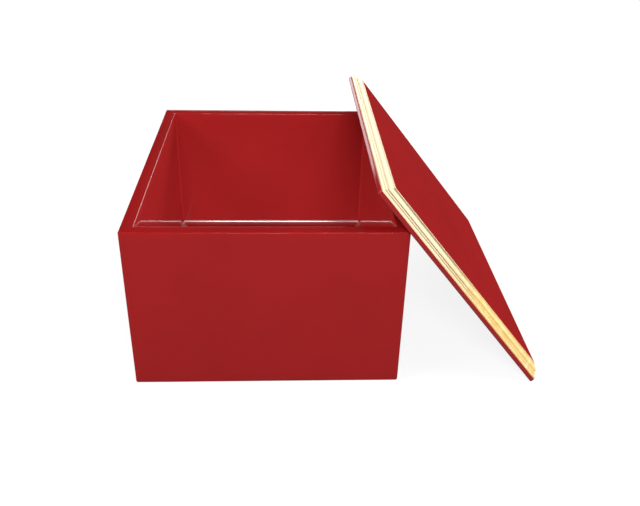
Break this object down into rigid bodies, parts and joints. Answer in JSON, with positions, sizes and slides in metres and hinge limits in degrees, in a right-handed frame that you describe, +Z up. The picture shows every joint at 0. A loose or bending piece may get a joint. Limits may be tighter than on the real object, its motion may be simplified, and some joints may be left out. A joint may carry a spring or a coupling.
{
  "type": "lacquered storage box with loose lid",
  "caption": "Open red lacquered wooden box with a loose flat lid, its edge carrying a gilded moulding, leaning on the box's side.",
  "frame": {"origin": "centre of the box's underside, on the surface the box stands on", "axes": "+Z up, +X towards the side that the lid leans on, +Y towards the back"},
  "size_m": [0.3694, 0.307, 0.1964],
  "materials": {
    "red_lacquer": "gloss red lacquer over wood",
    "gilding": "gold leaf over lacquered wood",
    "bare_wood": "planed softwood, glued in",
    "bamboo": "bamboo, lacquered over at the foot",
    "pin_brass": "plain drawn"
  },
  "bodies": {
    "box": {"front_board": "red_lacquer", "rear_board": "red_lacquer", "left_board": "red_lacquer", "right_board": "red_lacquer", "bottom_board": "red_lacquer", "corner_splines": "bare_wood", "floor_coves": "red_lacquer"},
    "carrier": {"moulding_pins": "pin_brass"},
    "lid": {"lid_board": "red_lacquer", "lid_clamp_head": "red_lacquer", "lid_clamp_foot": "red_lacquer", "moulding_front": "gilding", "moulding_rear": "gilding", "moulding_head": "gilding", "moulding_foot": "gilding", "batten_head": "red_lacquer", "batten_foot": "red_lacquer", "batten_pegs": "bamboo"}
  },
  "joints": [
    {"name": "lid_carry", "type": "hinge", "parent": "box", "child": "carrier", "pos_m": [0.09735, 0, 0.1631], "axis": [0, -1, 0], "range_deg": [0, 219.57]},
    {"name": "lid_turn", "type": "hinge", "parent": "carrier", "child": "lid", "pos_m": [0.17238, 0, 0.10108], "axis": [0, 1, 0], "range_deg": [0, 168.31]}
  ],
  "couplings": [
    {"joint": "lid_turn", "follows": "lid_carry", "ratio": 0.76654}
  ]
}
